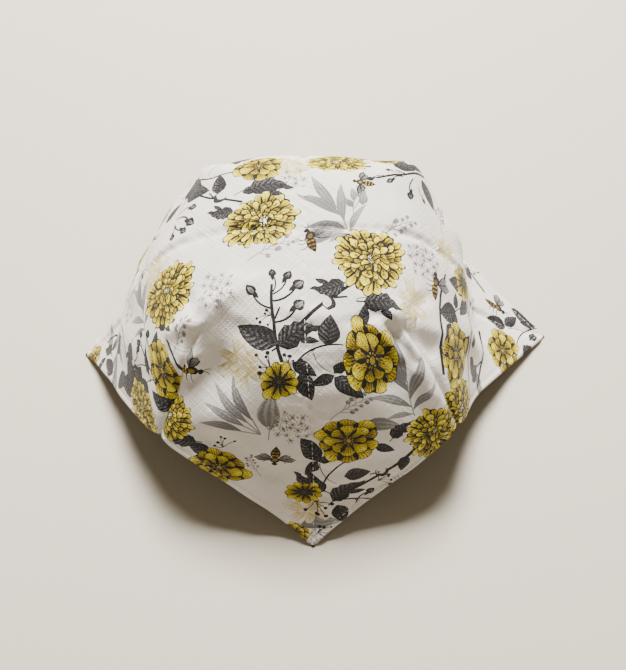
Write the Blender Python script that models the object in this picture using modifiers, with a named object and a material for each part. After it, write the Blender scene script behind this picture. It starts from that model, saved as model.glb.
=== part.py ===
"""Bowl cosy turned upside down: a darted, quilted cotton cover sewn to a darted lining, standing on its tips."""
import math
from collections import namedtuple

import bmesh
import bpy
import numpy as np

# Pattern of one square, in metres
CUT_SIDE = 0.254
SEAM_ALLOWANCE = 0.005
DART_LENGTH = 0.065
DART_REACH = 0.0254

# Cloth with its batting
COVER_LOFT = 0.0026
LINING_LOFT = 0.0024
LAYER_GAP = 0.0004
HEM_LOFT_SHARE = 0.55
HEM_PRESS_WIDTH = 0.012

# Lines sewn into the cloth
QUILT_DEPTH = 0.0009
QUILT_REACH = 0.0035
SEAM_DEPTH = 0.0007
SEAM_REACH = 0.0030
SEAM_FADE_IN = 0.008
SEWN_LOFT_LOSS = 0.3

# Rounding of the corner at each dart seam, and where it sets in as shares of the base's half width
SEAM_ROUNDING = 0.008
ROUNDING_START = 0.6
ROUNDING_FADE_IN = 0.5
SEAM_TAPS = ((-1, 1), (-0.5, 2), (0, 3), (0.5, 2), (1, 1))
BEND_TAPS = ((-1, 1), (-0.5, 2), (0, 2), (0.5, 2), (1, 1))

# Bend between the base and the panels
BEND_ROUNDING = 0.011
BEND_WIDTH = 0.024

# Where the middle of the base stands, from the middle of the footprint
BASE_CENTRE = (-0.0059, 0.0007)

# How far the tips' hems are pressed flat on the table
FOOT_PRESS = 0.0009
TABLE_THICKNESS = 0.04

# Closest that two points of the pattern count as apart
TINY = 1e-6
MERGE_DISTANCE = 1e-5

# Worked out from the pattern
HALF_SIDE = CUT_SIDE / 2 - SEAM_ALLOWANCE
DART_POINT = CUT_SIDE / 2 - DART_LENGTH
DART_HALF = DART_REACH * (HALF_SIDE - DART_POINT) / DART_LENGTH
BASE_EDGE = DART_POINT / math.sqrt(2)
SEAM_END_ACROSS = (HALF_SIDE - DART_HALF) / math.sqrt(2)
SEAM_END_ALONG = (HALF_SIDE + DART_HALF) / math.sqrt(2)
TIP_ALONG = HALF_SIDE * math.sqrt(2)
SEAM_LENGTH = math.hypot(SEAM_END_ACROSS - BASE_EDGE, SEAM_END_ALONG - BASE_EDGE)

# One section of a profile: how far along the cloth from the middle of the base, how steeply it falls there,
# and how far it has turned from its own heading, both in degrees
Section = namedtuple("Section", "along slope turn")
Panel = namedtuple("Panel", "heading left_dart right_dart sections")
Dart = namedtuple("Dart", "heading sections")

# From the middle of the base out to each tip
PANELS = {
    "front": Panel(-90, "front_left", "front_right", (
        Section(0.030, 5, 0), Section(0.042, 20, 0), Section(0.054, 34, 4), Section(0.080, 54, 4),
        Section(0.110, 60, 3), Section(0.140, 57, 0), Section(0.162, 44, -2), Section(0.174, 24, -2))),
    "right": Panel(0, "front_right", "back_right", (
        Section(0.030, 6, 0), Section(0.042, 17, -2), Section(0.054, 34, -4), Section(0.080, 47, -3),
        Section(0.102, 72, -7), Section(0.117, 64, -9), Section(0.130, 26, -8), Section(0.174, 10, -8))),
    "back": Panel(90, "back_right", "back_left", (
        Section(0.030, 8, 0), Section(0.042, 23, 0), Section(0.054, 55, -1), Section(0.080, 66, -1),
        Section(0.110, 64, -2), Section(0.140, 36, -3), Section(0.174, 20, -1))),
    "left": Panel(180, "back_left", "front_left", (
        Section(0.030, 6, 0), Section(0.042, 18, 2), Section(0.054, 28, 6), Section(0.080, 48, 11),
        Section(0.104, 64, 14), Section(0.130, 60, 16), Section(0.160, 38, 16), Section(0.174, 20, 16))),
}

# From the middle of the base down each dart's seam
DARTS = {
    "front_left": Dart(-135, (
        Section(0.042, 6, 0), Section(0.058, 13, 0), Section(0.070, 42, 8), Section(0.128, 54, 14))),
    "front_right": Dart(-45, (
        Section(0.042, 8, 0), Section(0.058, 24, -1), Section(0.070, 45, -1), Section(0.128, 50, -7))),
    "back_right": Dart(45, (
        Section(0.042, 0, -6), Section(0.060, 4, -6), Section(0.070, 58, -10), Section(0.128, 80, -15))),
    "back_left": Dart(135, (
        Section(0.042, 5, 1), Section(0.059, 11, 1), Section(0.070, 58, 8), Section(0.128, 78, 10))),
}

# Soft folds, each a ridge (height above 0) or a trough along a line laid on one panel's cloth
Fold = namedtuple("Fold", "panel start end height reach")
FOLDS = (
    Fold("front", (-0.029, 0.047), (-0.038, 0.067), -0.0042, 0.010),
    Fold("front", (-0.038, 0.067), (-0.056, 0.081), -0.0034, 0.011),
    Fold("front", (0.041, 0.051), (0.035, 0.068), -0.0018, 0.008),
    Fold("front", (0.036, 0.041), (0.046, 0.048), 0.0014, 0.004),
    Fold("front", (0.010, 0.125), (0.040, 0.112), 0.0014, 0.012),
    Fold("front", (-0.044, 0.104), (-0.012, 0.138), -0.0012, 0.010),
    Fold("left", (0.036, 0.057), (0.034, 0.035), 0.0016, 0.005),
    Fold("left", (0.043, 0.048), (0.028, 0.028), 0.0017, 0.005),
    Fold("left", (-0.034, 0.060), (-0.010, 0.096), -0.0020, 0.012),
    Fold("left", (0.012, 0.118), (0.034, 0.100), 0.0016, 0.009),
    Fold("right", (-0.044, 0.050), (-0.043, 0.060), -0.0020, 0.005),
    Fold("right", (-0.035, 0.046), (-0.042, 0.040), 0.0012, 0.004),
    Fold("right", (-0.030, 0.092), (-0.026, 0.122), 0.0018, 0.006),
    Fold("right", (0.022, 0.086), (0.030, 0.118), 0.0020, 0.009),
    Fold("back", (0.040, 0.052), (0.052, 0.080), -0.0022, 0.010),
    Fold("back", (-0.032, 0.048), (-0.020, 0.090), -0.0018, 0.014),
)

# Mesh of one sheet: stops across a panel as shares of its half width, and rows down it, closest at the bend
ACROSS_STOPS = (0, 0.05, 0.13, 0.27, 0.42, 0.57, 0.72, 0.85, 0.95, 1)
SEAM_ROWS = 8
ROW_SPREAD = 1.4
TIP_ROWS = 7
PROFILE_STEP = 0.0005


def smooth_step(value):
    share = np.clip(value, 0, 1)
    return share * share * (3 - 2 * share)


def eased(sections, distances):
    """Slope and turn between the sections, with no overshoot."""
    rows = np.array([(0, 0, sections[0].turn)] + [tuple(section) for section in sections], float)
    stops = rows[:, 0]
    values = rows[:, 1:]
    rises = np.diff(values, axis=0) / np.diff(stops)[:, None]
    tangents = np.zeros_like(values)
    product = rises[:-1] * rises[1:]
    total = rises[:-1] + rises[1:]
    tangents[1:-1] = np.where(product > 0, 2 * product / np.where(total == 0, 1, total), 0)
    tangents[0] = rises[0]
    tangents[-1] = rises[-1]
    index = np.clip(np.searchsorted(stops, distances, side="right") - 1, 0, len(stops) - 2)
    span = (stops[index + 1] - stops[index])[:, None]
    share = (distances - stops[index])[:, None] / span
    return (
        (2 * share**3 - 3 * share**2 + 1) * values[index]
        + (share**3 - 2 * share**2 + share) * span * tangents[index]
        + (3 * share**2 - 2 * share**3) * values[index + 1]
        + (share**3 - share**2) * span * tangents[index + 1]
    )


def profile(heading, sections):
    """Distances along the cloth, and where each falls below the middle of the base."""
    distances = np.arange(0, sections[-1].along + PROFILE_STEP, PROFILE_STEP)
    slope, turn = np.radians(eased(sections, distances)).T
    bearing = math.radians(heading) + turn
    steps = np.stack([np.cos(slope) * np.cos(bearing), np.cos(slope) * np.sin(bearing), -np.sin(slope)], axis=1)
    walked = np.cumsum((steps[1:] + steps[:-1]) / 2 * PROFILE_STEP, axis=0)
    return distances, np.concatenate([np.zeros((1, 3)), walked])


def along_profile(curve, distances):
    stops, points = curve
    return np.stack([np.interp(distances, stops, points[:, axis]) for axis in range(3)], axis=-1)


SEAM_CURVES = {name: profile(dart.heading, dart.sections) for name, dart in DARTS.items()}
TIP_CURVES = {name: profile(panel.heading, panel.sections) for name, panel in PANELS.items()}
TIP_DROPS = {name: -float(along_profile(curve, TIP_ALONG)[2]) for name, curve in TIP_CURVES.items()}
BASE_HEIGHT = sum(TIP_DROPS.values()) / len(TIP_DROPS)


def half_width(along):
    """From the panel's middle line to its dart seam, or to the next panel on the base."""
    share = (along - BASE_EDGE) / (SEAM_END_ALONG - BASE_EDGE)
    widening = np.clip(share, 0, 1) * (SEAM_END_ACROSS - BASE_EDGE)
    return np.minimum(along, BASE_EDGE) + widening


def middle_line(name, along):
    """The panel's middle line, eased so that every tip lands at the same level."""
    points = along_profile(TIP_CURVES[name], along)
    landing = smooth_step((along - BASE_EDGE) / (TIP_ALONG - BASE_EDGE))
    points[..., 2] += (TIP_DROPS[name] - BASE_HEIGHT) * landing
    return points


def panel_point(name, across, along):
    """One panel as a bowed loft between its two seams and its middle line."""
    panel = PANELS[name]
    level = np.clip(along, TINY, SEAM_END_ALONG)
    width = half_width(level)[..., None]
    share = np.clip((level - BASE_EDGE) / (SEAM_END_ALONG - BASE_EDGE), 0, 1)
    seam_distance = np.minimum(level, BASE_EDGE) * math.sqrt(2) + share * SEAM_LENGTH
    left = along_profile(SEAM_CURVES[panel.left_dart], seam_distance)
    right = along_profile(SEAM_CURVES[panel.right_dart], seam_distance)
    lean = (right - left) / (2 * width)
    bow = ((right + left) / 2 - middle_line(name, level)) / width**2
    bow_left = np.clip((TIP_ALONG - along) / (TIP_ALONG - SEAM_END_ALONG), 0, 1)[..., None]
    run = across[..., None]
    return middle_line(name, along) + lean * run + bow * bow_left * run**2


def seam_rounded(name, across, along):
    """The same, with the corner at each dart seam rounded by averaging across it."""
    order = list(PANELS)
    place = order.index(name)
    after = order[(place + 1) % len(order)]
    before = order[place - 1]
    width = half_width(along)
    reach = SEAM_ROUNDING * smooth_step((along / BASE_EDGE - ROUNDING_START) / ROUNDING_FADE_IN)
    total = 0
    for tap, weight in SEAM_TAPS:
        run = across + tap * reach
        past = np.abs(run) - width
        own = panel_point(name, run, along)
        over_right = panel_point(after, past - width, along)
        over_left = panel_point(before, width - past, along)
        near = np.where((run > 0)[..., None], over_right, over_left)
        total = total + np.where((past > 0)[..., None], near, own) * weight
    total = total / sum(weight for _, weight in SEAM_TAPS)
    free = 1 - smooth_step((along - SEAM_END_ALONG) / SEAM_ROUNDING)[..., None]
    return total * free + panel_point(name, across, along) * (1 - free)


def rounded_point(name, across, along):
    """The same again, with the bend round the base rounded by averaging down the panel."""
    reach = BEND_ROUNDING * (1 - smooth_step(np.abs(along - BASE_EDGE) / BEND_WIDTH))
    total = 0
    width = np.maximum(half_width(along), TINY)
    for tap, weight in BEND_TAPS:
        level = along + tap * reach
        share = np.where(reach > 0, half_width(level) / width, 1)
        total = total + seam_rounded(name, across * share, level) * weight
    return total / sum(weight for _, weight in BEND_TAPS)


def groove(distance, reach):
    return 1 - smooth_step(np.abs(distance) / reach)


def sewn_depth(across, along):
    """Depth of the quilting lines, which run from tip to tip, and of the dart seams."""
    quilt = QUILT_DEPTH * groove(across, QUILT_REACH)
    to_seam = half_width(along) - np.abs(across)
    seam = SEAM_DEPTH * groove(to_seam, SEAM_REACH) * smooth_step((along - BASE_EDGE) / SEAM_FADE_IN)
    return quilt + seam * (along < SEAM_END_ALONG)


def fold_height(name, across, along):
    """Height of the folds at points of one panel, with those that reach over from the panels beside it."""
    order = list(PANELS)
    place = order.index(name)
    width = half_width(along)
    views = {
        name: across,
        order[(place + 1) % len(order)]: across - 2 * width,
        order[place - 1]: across + 2 * width,
    }
    total = np.zeros_like(across)
    for fold in FOLDS:
        if fold.panel not in views:
            continue
        start = np.array(fold.start)
        run = np.array(fold.end) - start
        offset = np.stack([views[fold.panel], along], axis=-1) - start
        share = np.clip(offset @ run / (run @ run), 0, 1)
        miss = np.linalg.norm(offset - share[..., None] * run, axis=-1)
        total += fold.height * np.exp(-((miss / fold.reach) ** 2))
    return total


def loft_share(across, along):
    """Share of the full loft: less at the pressed hem and where a line of sewing holds the batting down."""
    to_hem = (TIP_ALONG - along - np.abs(across)) / math.sqrt(2)
    to_hem = np.where(along < SEAM_END_ALONG, np.hypot(SEAM_END_ALONG - along, to_hem * 0.5), to_hem)
    pressed = HEM_LOFT_SHARE + (1 - HEM_LOFT_SHARE) * smooth_step(to_hem / HEM_PRESS_WIDTH)
    held = sewn_depth(across, along) / QUILT_DEPTH
    return np.maximum(pressed - SEWN_LOFT_LOSS * held, HEM_LOFT_SHARE)


def clear_scene():
    for item in list(bpy.data.objects):
        bpy.data.objects.remove(item, do_unlink=True)


def cloth_material(name, colour, roughness):
    material = bpy.data.materials.new(name)
    material.use_nodes = True
    shader = material.node_tree.nodes["Principled BSDF"]
    shader.inputs["Base Color"].default_value = (*colour, 1)
    shader.inputs["Roughness"].default_value = roughness
    shader.inputs["Metallic"].default_value = 0
    return material


def place(bm, grid, name, across, along, layers):
    """Moves a grid's points from the flat pattern on to the cosy, and notes their relief and loft."""
    points = rounded_point(name, across, along)
    relief = fold_height(name, across, along) - sewn_depth(across, along)
    loft = loft_share(across, along)
    for vert, point, height, share in zip(grid, points, relief, loft):
        vert.co = point
        vert[layers["relief"]] = height
        vert[layers["loft"]] = share


def stops_across():
    half = np.array(ACROSS_STOPS)
    return np.concatenate([-half[:0:-1], half])


def open_sheet():
    """The cover's outer face as an open sheet: a square base and four panels, joined down the dart seams."""
    bm = bmesh.new()
    layers = {key: bm.verts.layers.float.new(key) for key in ("relief", "loft")}
    stops = stops_across()
    cells = len(stops) - 1
    base = bmesh.ops.create_grid(bm, x_segments=cells, y_segments=cells, size=1)["verts"]
    spread = np.linspace(-1, 1, cells + 1)
    flat = np.array([(vert.co.x, vert.co.y) for vert in base])
    flat = np.interp(flat, spread, stops) * BASE_EDGE
    for name, panel in PANELS.items():
        bearing = math.radians(panel.heading)
        along = flat @ (math.cos(bearing), math.sin(bearing))
        across = flat @ (-math.sin(bearing), math.cos(bearing))
        mine = along >= np.abs(across) - TINY
        chosen = [vert for vert, own in zip(base, mine) if own]
        place(bm, chosen, name, across[mine], along[mine], layers)
    seam_shares = np.linspace(0, 1, SEAM_ROWS + 1) ** ROW_SPREAD
    down = np.concatenate([
        BASE_EDGE + (SEAM_END_ALONG - BASE_EDGE) * seam_shares,
        np.linspace(SEAM_END_ALONG, TIP_ALONG, TIP_ROWS + 1)[1:],
    ])
    for name in PANELS:
        grid = bmesh.ops.create_grid(bm, x_segments=cells, y_segments=len(down) - 1, size=1)["verts"]
        shares = np.interp([vert.co.x for vert in grid], spread, stops)
        along = np.interp([vert.co.y for vert in grid], np.linspace(-1, 1, len(down)), down)
        reach = np.minimum(half_width(along), TIP_ALONG - along)
        place(bm, grid, name, shares * reach, along, layers)
    bmesh.ops.remove_doubles(bm, verts=bm.verts, dist=MERGE_DISTANCE)
    bmesh.ops.recalc_face_normals(bm, faces=bm.faces)
    if max(bm.verts, key=lambda vert: vert.co.z).normal.z < 0:
        bmesh.ops.reverse_faces(bm, faces=bm.faces)
    bm.normal_update()
    lift = [(vert, vert.normal * vert[layers["relief"]]) for vert in bm.verts]
    for vert, move in lift:
        vert.co += move
    bm.normal_update()
    return bm, layers


def sheet_object(name, depth, thickness, material, collection):
    """One cloth: the open sheet sunk to its depth and given its loft, with flat feet where it meets the table."""
    bm, layers = open_sheet()
    sunk = []
    for vert in bm.verts:
        inward = vert.normal * vert.calc_shell_factor()
        sunk.append((vert, vert.co - inward * (depth[0] * vert[layers["loft"]] + depth[1])))
    shares = [vert[layers["loft"]] for vert in bm.verts]
    for vert, point in sunk:
        vert.co = point
    mesh = bpy.data.meshes.new(name)
    bm.to_mesh(mesh)
    bm.free()
    mesh.materials.append(material)
    item = bpy.data.objects.new(name, mesh)
    collection.objects.link(item)
    group = item.vertex_groups.new(name="loft")
    for index, share in enumerate(shares):
        group.add([index], share, "REPLACE")
    item.location = (*BASE_CENTRE, BASE_HEIGHT + COVER_LOFT - FOOT_PRESS)
    solidify = item.modifiers.new("Loft", "SOLIDIFY")
    solidify.thickness = thickness
    solidify.offset = -1
    solidify.use_even_offset = True
    solidify.vertex_group = "loft"
    mesh.shade_smooth()
    return item


def floor_cutter(collection):
    """A block whose top is the table: it trims the tips flat where they rest."""
    side = 4 * HALF_SIDE
    bpy.ops.mesh.primitive_cube_add(size=1, location=(0, 0, -TABLE_THICKNESS / 2))
    cutter = bpy.context.object
    cutter.name = "table_level"
    cutter.scale = (side, side, TABLE_THICKNESS)
    bpy.ops.object.transform_apply(location=False, rotation=False, scale=True)
    for owner in list(cutter.users_collection):
        owner.objects.unlink(cutter)
    collection.objects.link(cutter)
    cutter.hide_render = True
    cutter.display_type = "WIRE"
    return cutter


def rest_on_table(item, cutter):
    trim = item.modifiers.new("Foot", "BOOLEAN")
    trim.operation = "DIFFERENCE"
    trim.object = cutter
    trim.solver = "EXACT"


def build():
    clear_scene()
    cosy = bpy.data.collections.new("BowlCosy")
    cutters = bpy.data.collections.new("Cutters")
    bpy.context.scene.collection.children.link(cosy)
    bpy.context.scene.collection.children.link(cutters)
    white = cloth_material("PrintedCotton", (0.82, 0.80, 0.76), 0.85)
    black = cloth_material("DottedCotton", (0.012, 0.012, 0.016), 0.85)
    cutter = floor_cutter(cutters)
    cover = sheet_object("cover", (0, 0), COVER_LOFT, white, cosy)
    lining = sheet_object("lining", (COVER_LOFT, LAYER_GAP), LINING_LOFT, black, cosy)
    for item in (cover, lining):
        rest_on_table(item, cutter)


build()
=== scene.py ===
import math
import random
from collections import namedtuple
from functools import partial
import bpy
import numpy as np
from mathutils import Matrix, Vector
from mathutils.geometry import delaunay_2d_cdt


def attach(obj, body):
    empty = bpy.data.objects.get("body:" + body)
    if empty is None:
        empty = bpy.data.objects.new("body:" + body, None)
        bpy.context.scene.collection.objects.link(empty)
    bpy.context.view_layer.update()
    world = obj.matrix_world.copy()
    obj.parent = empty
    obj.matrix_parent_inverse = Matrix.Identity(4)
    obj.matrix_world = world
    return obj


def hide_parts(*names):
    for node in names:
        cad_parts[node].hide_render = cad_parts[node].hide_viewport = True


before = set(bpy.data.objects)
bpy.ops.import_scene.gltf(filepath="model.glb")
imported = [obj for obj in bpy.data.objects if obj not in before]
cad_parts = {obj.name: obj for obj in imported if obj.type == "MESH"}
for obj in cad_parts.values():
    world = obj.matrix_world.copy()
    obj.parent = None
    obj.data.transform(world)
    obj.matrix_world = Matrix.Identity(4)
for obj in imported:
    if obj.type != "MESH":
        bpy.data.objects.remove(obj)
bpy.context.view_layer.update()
print("frame loaded")

mm = 0.001

# The cosy's pattern and how it slumps, in metres: the same sizes as its solids
pattern = {
    "cutSide": 0.254, "seamAllowance": 0.005, "dartLength": 0.065, "dartReach": 0.0254,
    "seamRounding": 0.008, "bendRounding": 0.011, "bendWidth": 0.024,
    "baseCentre": (-0.0059, 0.0007), "footPress": 0.0009,
    "coverLoft": 0.0026, "liningLoft": 0.0024, "layerGap": 0.0004,
    "hemLoftShare": 0.55, "hemPressWidth": 0.012, "profileStep": 0.0005,
}
halfSide = pattern["cutSide"] / 2 - pattern["seamAllowance"]
dartPoint = pattern["cutSide"] / 2 - pattern["dartLength"]
dartHalf = pattern["dartReach"] * (halfSide - dartPoint) / pattern["dartLength"]
baseEdge = dartPoint / math.sqrt(2)
seamEndAcross = (halfSide - dartHalf) / math.sqrt(2)
seamEndAlong = (halfSide + dartHalf) / math.sqrt(2)
tipAlong = halfSide * math.sqrt(2)
seamLength = math.hypot(seamEndAcross - baseEdge, seamEndAlong - baseEdge)
seamSpread = (seamEndAcross - baseEdge) / (seamEndAlong - baseEdge)

Panel = namedtuple("Panel", "heading leftDart rightDart sections")
Dart = namedtuple("Dart", "heading sections")
# A section is mm from the middle of the base, slope and turn in degrees
panels = {
    "front": Panel(-90, "frontLeft", "frontRight", (
        (30, 5, 0), (42, 20, 0), (54, 34, 4), (80, 54, 4),
        (110, 60, 3), (140, 57, 0), (162, 44, -2), (174, 24, -2))),
    "right": Panel(0, "frontRight", "backRight", (
        (30, 6, 0), (42, 17, -2), (54, 34, -4), (80, 47, -3),
        (102, 72, -7), (117, 64, -9), (130, 26, -8), (174, 10, -8))),
    "back": Panel(90, "backRight", "backLeft", (
        (30, 8, 0), (42, 23, 0), (54, 55, -1), (80, 66, -1),
        (110, 64, -2), (140, 36, -3), (174, 20, -1))),
    "left": Panel(180, "backLeft", "frontLeft", (
        (30, 6, 0), (42, 18, 2), (54, 28, 6), (80, 48, 11),
        (104, 64, 14), (130, 60, 16), (160, 38, 16), (174, 20, 16))),
}
darts = {
    "frontLeft": Dart(-135, (
        (42, 6, 0), (58, 13, 0), (70, 42, 8), (128, 54, 14))),
    "frontRight": Dart(-45, (
        (42, 8, 0), (58, 24, -1), (70, 45, -1), (128, 50, -7))),
    "backRight": Dart(45, (
        (42, 0, -6), (60, 4, -6), (70, 58, -10), (128, 80, -15))),
    "backLeft": Dart(135, (
        (42, 5, 1), (59, 11, 1), (70, 58, 8), (128, 78, 10))),
}
panelOrder = list(panels)

# Soft folds as ridges and troughs on each panel, in mm: from across and along, to across and along, height, reach
mainFolds = {
    "front": ((-29, 47, -38, 67, -4.2, 10), (-38, 67, -56, 81, -3.4, 11), (41, 51, 35, 72, -2.6, 7),
              (36, 41, 48, 50, 2, 4), (44, 54, 53, 82, 2.2, 3.6), (10, 125, 40, 112, 1.4, 12),
              (-44, 104, -12, 138, -1.2, 10)),
    "left": ((36, 57, 34, 35, 1.6, 5), (43, 48, 28, 28, 1.7, 5), (-34, 60, -10, 96, -2, 12),
             (12, 118, 34, 100, 1.6, 9)),
    "right": ((-45, 50, -47, 66, -2.8, 5), (-35, 46, -42, 40, 1.2, 4), (-30, 92, -26, 122, 1.8, 6),
              (22, 86, 30, 118, 2, 9)),
    "back": ((40, 52, 52, 80, -2.2, 10), (-32, 48, -20, 90, -1.8, 14)),
}
fineCreases = {
    "front": ((37, 46, 47, 64, -2.2, 2.1), (30, 45, 40, 60, 1.8, 3), (33, 41, 18, 44, -1.3, 2.2),
              (24, 50, 14, 68, -1.2, 3), (-4, 40, 20, 43, 1, 3.2), (-44.5, 44, -34, 36, 1.8, 2.8),
              (-53, 63, -45, 59, 1.3, 2.2), (-55, 68, -47, 65, 1.1, 2.2), (-30, 40, -16, 46, 0.9, 3.2),
              (-52, 74, -60, 86, -1.2, 2.8)),
    "left": ((40, 50, 24, 30, 1.2, 2.6), (38, 66, 41, 49, 2, 3.4), (28, 53, 40, 46.5, -1.8, 3.2),
             (34, 46, 16, 38, -0.8, 2.6)),
    "right": ((-36, 47, -26, 60, -1.2, 2.6), (-40, 56, -38, 78, 1, 3)),
}
sewing = {
    "quiltDepth": 0.0012, "quiltReach": 0.0034, "seamDepth": 0.0014, "seamReach": 0.0028, "seamStart": 0.008,
    "topstitchInset": 0.0032, "topstitchDepth": 0.00035, "topstitchReach": 0.0016,
    "puckerHeight": 0.00028, "puckerPitch": 0.0075, "puckerReach": 0.010, "puckerDrift": 2.2, "driftPitch": 0.030,
    "puckerInQuilt": 0.25, "ripple": 0.00042, "ripplePitch": 0.026, "rollWidth": 0.0015, "sewnFlat": 0.3,
    "liningPress": 0.8, "floorGap": 0.0001,
}


def smoothStep(value):
    share = np.clip(value, 0, 1)
    return share * share * (3 - 2 * share)


def eased(sections, distances):  # slope and turn between the sections, with no overshoot
    rows = np.array([(0, 0, sections[0][2]), *sections], float)
    stops, values = rows[:, 0] / 1000, rows[:, 1:]
    rises = np.diff(values, axis=0) / np.diff(stops)[:, None]
    tangents = np.zeros_like(values)
    product, total = rises[:-1] * rises[1:], rises[:-1] + rises[1:]
    tangents[1:-1] = np.where(product > 0, 2 * product / np.where(total == 0, 1, total), 0)
    tangents[0], tangents[-1] = rises[0], rises[-1]
    index = np.clip(np.searchsorted(stops, distances, side="right") - 1, 0, len(stops) - 2)
    span = (stops[index + 1] - stops[index])[:, None]
    share = (distances - stops[index])[:, None] / span
    return ((2 * share**3 - 3 * share**2 + 1) * values[index]
            + (share**3 - 2 * share**2 + share) * span * tangents[index]
            + (3 * share**2 - 2 * share**3) * values[index + 1]
            + (share**3 - share**2) * span * tangents[index + 1])


def profile(heading, sections):
    step = pattern["profileStep"]
    distances = np.arange(0, sections[-1][0] / 1000 + step, step)
    slope, turn = np.radians(eased(sections, distances)).T
    bearing = math.radians(heading) + turn
    steps = np.stack([np.cos(slope) * np.cos(bearing), np.cos(slope) * np.sin(bearing), -np.sin(slope)], axis=1)
    walked = np.cumsum((steps[1:] + steps[:-1]) / 2 * step, axis=0)
    return distances, np.concatenate([np.zeros((1, 3)), walked])


def alongProfile(curve, distances):
    stops, points = curve
    return np.stack([np.interp(distances, stops, points[:, axis]) for axis in range(3)], axis=-1)


seamCurves = {name: profile(dart.heading, dart.sections) for name, dart in darts.items()}
tipCurves = {name: profile(panel.heading, panel.sections) for name, panel in panels.items()}
tipDrops = {name: -float(alongProfile(curve, tipAlong)[2]) for name, curve in tipCurves.items()}
baseHeight = sum(tipDrops.values()) / len(tipDrops)
lift = np.array((*pattern["baseCentre"], baseHeight + pattern["coverLoft"] - pattern["footPress"]))


def seamShare(along):  # how far down the dart seams, from 0 at the base's edge to 1 at the hem
    return np.clip((along - baseEdge) / (seamEndAlong - baseEdge), 0, 1)


def halfWidth(along):
    return np.minimum(along, baseEdge) + seamShare(along) * (seamEndAcross - baseEdge)


def middleLine(name, along):
    points = alongProfile(tipCurves[name], along)
    landing = smoothStep((along - baseEdge) / (tipAlong - baseEdge))
    points[..., 2] += (tipDrops[name] - baseHeight) * landing
    return points


def panelPoint(name, across, along):  # a bowed loft between the two seams and the middle line
    panel = panels[name]
    level = np.clip(along, 1e-6, seamEndAlong)
    width = halfWidth(level)[..., None]
    seamDistance = np.minimum(level, baseEdge) * math.sqrt(2) + seamShare(level) * seamLength
    left = alongProfile(seamCurves[panel.leftDart], seamDistance)
    right = alongProfile(seamCurves[panel.rightDart], seamDistance)
    lean = (right - left) / (2 * width)
    bow = ((right + left) / 2 - middleLine(name, level)) / width**2
    bowLeft = np.clip((tipAlong - along) / (tipAlong - seamEndAlong), 0, 1)[..., None]
    run = across[..., None]
    return middleLine(name, along) + lean * run + bow * bowLeft * run**2


def beside(name):  # the panel before and the one after, going round
    place = panelOrder.index(name)
    return panelOrder[place - 1], panelOrder[(place + 1) % len(panelOrder)]


def seamRounded(name, across, along):  # the weighted middle of five places across, so that the seams are soft
    before, after = beside(name)
    width = halfWidth(along)
    reach = pattern["seamRounding"] * smoothStep((along - 0.6 * baseEdge) / (0.5 * baseEdge))
    total = 0
    for tap, weight in ((-1, 1), (-0.5, 2), (0, 3), (0.5, 2), (1, 1)):
        run = across + tap * reach
        past = np.abs(run) - width
        overRight = panelPoint(after, past - width, along)
        overLeft = panelPoint(before, width - past, along)
        near = np.where((run > 0)[..., None], overRight, overLeft)
        own = panelPoint(name, run, along)
        total = total + np.where((past > 0)[..., None], near, own) * weight / 9
    free = 1 - smoothStep((along - seamEndAlong) / pattern["seamRounding"])[..., None]
    return total * free + panelPoint(name, across, along) * (1 - free)


def roundedPoint(name, across, along):  # and of five along, so that the base's edge is soft
    reach = pattern["bendRounding"] * (1 - smoothStep(np.abs(along - baseEdge) / pattern["bendWidth"]))
    width = np.maximum(halfWidth(along), 1e-6)
    total = 0
    for tap, weight in ((-1, 1), (-0.5, 2), (0, 2), (0.5, 2), (1, 1)):
        level = along + tap * reach
        share = np.where(reach > 0, halfWidth(level) / width, 1)
        total = total + seamRounded(name, across * share, level) * weight / 8
    return total


# Each panel's surface is worked out once, on a lattice of rows along it and shares of its width
lattice = {"rows": 260, "columns": 97, "thinnest": 0.0004}


def panelReach(along):  # half the panel's width, down to its tip
    wide = np.where(along <= seamEndAlong, halfWidth(along), tipAlong - along)
    return np.maximum(wide, lattice["thinnest"])


def panelLattice(name):
    along = np.linspace(lattice["thinnest"], tipAlong, lattice["rows"])
    share = np.linspace(-1, 1, lattice["columns"])
    across = share[None, :] * panelReach(along)[:, None]
    points = roundedPoint(name, across, np.repeat(along[:, None], len(share), axis=1))
    down = np.gradient(points, axis=0)
    over = np.gradient(points, axis=1)
    normals = np.cross(over, down)
    normals[0], normals[-1] = normals[1], normals[-2]
    normals /= np.linalg.norm(normals, axis=2)[..., None]
    normals *= np.sign(normals[lattice["rows"] // 4, lattice["columns"] // 2, 2])
    return np.concatenate([points, normals], axis=2)


panelFields = {name: panelLattice(name) for name in panels}
print("surface worked out")


def fieldAt(name, across, along):  # a point of the surface and its normal
    rows, columns = lattice["rows"], lattice["columns"]
    down = np.clip((along - lattice["thinnest"]) / (tipAlong - lattice["thinnest"]), 0, 1) * (rows - 1)
    over = np.clip((across / panelReach(along) + 1) / 2, 0, 1) * (columns - 1)
    row, column = np.minimum(down.astype(int), rows - 2), np.minimum(over.astype(int), columns - 2)
    downShare, overShare = (down - row)[:, None], (over - column)[:, None]
    field = panelFields[name]
    near = field[row, column] * (1 - overShare) + field[row, column + 1] * overShare
    far = field[row + 1, column] * (1 - overShare) + field[row + 1, column + 1] * overShare
    mixed = near * (1 - downShare) + far * downShare
    return mixed[:, :3], mixed[:, 3:] / np.linalg.norm(mixed[:, 3:], axis=1)[:, None]


def waves(flat, pitch, seed):  # soft unevenness between -1 and 1, from a few crossing sine waves
    draw = random.Random(seed)
    x, y = flat[:, 0], flat[:, 1]
    total = np.zeros_like(x)
    for _ in range(7):
        angle, phase = draw.uniform(0, 2 * math.pi), draw.uniform(0, 2 * math.pi)
        length = pitch * draw.uniform(0.7, 1.5)
        total += np.sin(2 * math.pi * (x * math.cos(angle) + y * math.sin(angle)) / length + phase)
    return total / 3.2  # seven waves seldom add up to more


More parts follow.
